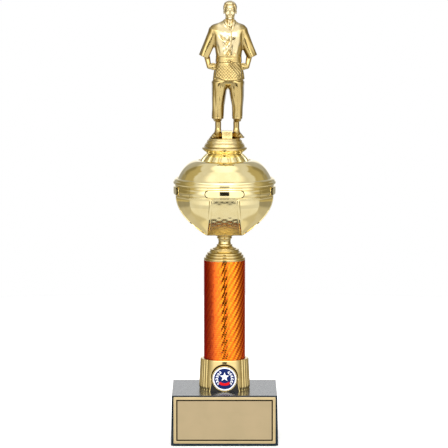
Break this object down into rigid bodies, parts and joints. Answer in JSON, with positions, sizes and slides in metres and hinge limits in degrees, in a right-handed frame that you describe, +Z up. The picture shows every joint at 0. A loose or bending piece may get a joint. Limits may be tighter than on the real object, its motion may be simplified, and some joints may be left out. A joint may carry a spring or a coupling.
{
  "type": "column trophy",
  "caption": "Column trophy: a square weighted base, an emblem collar, a round column in prismatic film, a lidded bowl and a judo figure that turns.",
  "frame": {"origin": "middle of the underside, on the surface that the trophy stands on", "axes": "+Z up the tie rod to the figure; the engraving plate, the emblem and the figure face -Y; +X to the right of someone who looks at the front"},
  "size_m": [0.1144, 0.1154, 0.4727],
  "materials": {
    "felt": "felt",
    "base_stone": "polished",
    "zinc_steel": "zinc plated",
    "adhesive": "matte",
    "plate_metal": "satin anodised gold",
    "gold_plastic": "vacuum metallised gold",
    "emblem_print": "gloss print",
    "tube_plastic": "moulded",
    "prismatic_film": "prismatic metallised film",
    "pale_gold_plastic": "vacuum metallised pale gold, mirror",
    "figure_gold": "vacuum metallised gold, soft gloss"
  },
  "bodies": {
    "trophy": {"felt_pad": "felt", "base_block": "base_stone", "base_washer": "zinc_steel", "base_nut": "zinc_steel", "threaded_rod": "zinc_steel", "plate_adhesive": "adhesive", "engraving_plate": "plate_metal", "collar": "gold_plastic", "emblem_adhesive": "adhesive", "emblem_disc": "emblem_print", "column_tube": "tube_plastic", "column_film": "prismatic_film", "stem_cap": "gold_plastic", "bowl": "pale_gold_plastic", "bowl_washer": "zinc_steel", "bowl_nut": "zinc_steel", "lid": "pale_gold_plastic"},
    "figure_top": {"figure_plinth": "figure_gold", "figure_nut": "zinc_steel", "figure": "figure_gold"}
  },
  "joints": [
    {"name": "figure_turn", "type": "hinge", "parent": "trophy", "child": "figure_top", "pos_m": [0, 0, 0.309], "axis": [0, 0, 1], "continuous": true}
  ]
}
